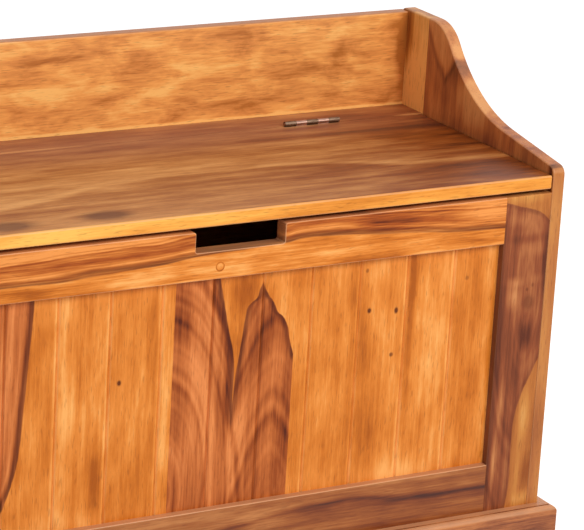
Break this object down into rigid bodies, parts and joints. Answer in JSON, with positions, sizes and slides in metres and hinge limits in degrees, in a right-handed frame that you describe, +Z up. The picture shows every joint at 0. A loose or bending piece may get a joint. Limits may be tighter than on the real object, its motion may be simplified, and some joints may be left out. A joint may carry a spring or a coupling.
{
  "type": "storage bench",
  "caption": "Solid hardwood storage bench with a plank lid hinged in front of a low gallery, S-shaped end panels, a boarded front under a rail with a hand-hold notch, and a moulded plinth.",
  "frame": {"origin": "on the floor under the middle of the bench's box", "axes": "+X to the bench's right as seen from the front, +Y to the back, +Z up; the front faces -Y"},
  "size_m": [0.936, 0.389, 0.623],
  "materials": {
    "hardwood_ends": "satin lacquer",
    "hardwood_frame": "satin lacquer",
    "hardwood_boards": "satin lacquer",
    "hardwood_back": "satin lacquer",
    "hardwood_seat": "satin lacquer",
    "hardwood_plinth": "satin lacquer",
    "hardwood_plug": "satin lacquer",
    "hardwood_inside": "unfinished",
    "plywood_floor": "unfinished",
    "hinge_steel": "zinc plated",
    "screw_steel": "zinc plated"
  },
  "bodies": {
    "carcass": {"end_left_front_board": "hardwood_ends", "end_left_rear_board": "hardwood_ends", "end_right_front_board": "hardwood_ends", "end_right_rear_board": "hardwood_ends", "front_stile_left": "hardwood_frame", "front_stile_right": "hardwood_frame", "front_top_rail": "hardwood_frame", "front_bottom_rail": "hardwood_frame", "front_board_01": "hardwood_boards", "front_board_02": "hardwood_boards", "front_board_03": "hardwood_boards", "front_board_04": "hardwood_boards", "front_board_05": "hardwood_boards", "front_board_06": "hardwood_boards", "front_board_07": "hardwood_boards", "front_board_08": "hardwood_boards", "front_board_09": "hardwood_boards", "front_board_10": "hardwood_boards", "front_board_11": "hardwood_boards", "back_board_1": "hardwood_back", "back_board_2": "hardwood_back", "back_board_3": "hardwood_back", "gallery_board": "hardwood_back", "hinge_strip": "hardwood_seat", "plinth_front": "hardwood_plinth", "plinth_left": "hardwood_plinth", "plinth_right": "hardwood_plinth", "rail_plug": "hardwood_plug", "floor_panel": "plywood_floor", "floor_cleat_front": "hardwood_inside", "floor_cleat_back": "hardwood_inside", "floor_cleat_left": "hardwood_inside", "floor_cleat_right": "hardwood_inside", "lid_rest_left": "hardwood_inside", "lid_rest_right": "hardwood_inside", "hinge_leaf_fixed_left": "hinge_steel", "hinge_leaf_fixed_right": "hinge_steel", "hinge_pin_left": "hinge_steel", "hinge_pin_right": "hinge_steel", "hinge_screws_fixed": "screw_steel", "lid_rest_screws": "screw_steel"},
    "lid": {"lid_plank_front": "hardwood_seat", "lid_plank_middle": "hardwood_seat", "lid_plank_rear": "hardwood_seat", "lid_batten_left": "hardwood_inside", "lid_batten_right": "hardwood_inside", "hinge_leaf_lid_left": "hinge_steel", "hinge_leaf_lid_right": "hinge_steel", "hinge_screws_lid": "screw_steel", "batten_screws": "screw_steel"}
  },
  "joints": [
    {"name": "lid_hinge", "type": "hinge", "parent": "carcass", "child": "lid", "pos_m": [0, 0.12575, 0.4994], "axis": [-1, 0, 0], "range_deg": [0, 114]}
  ]
}
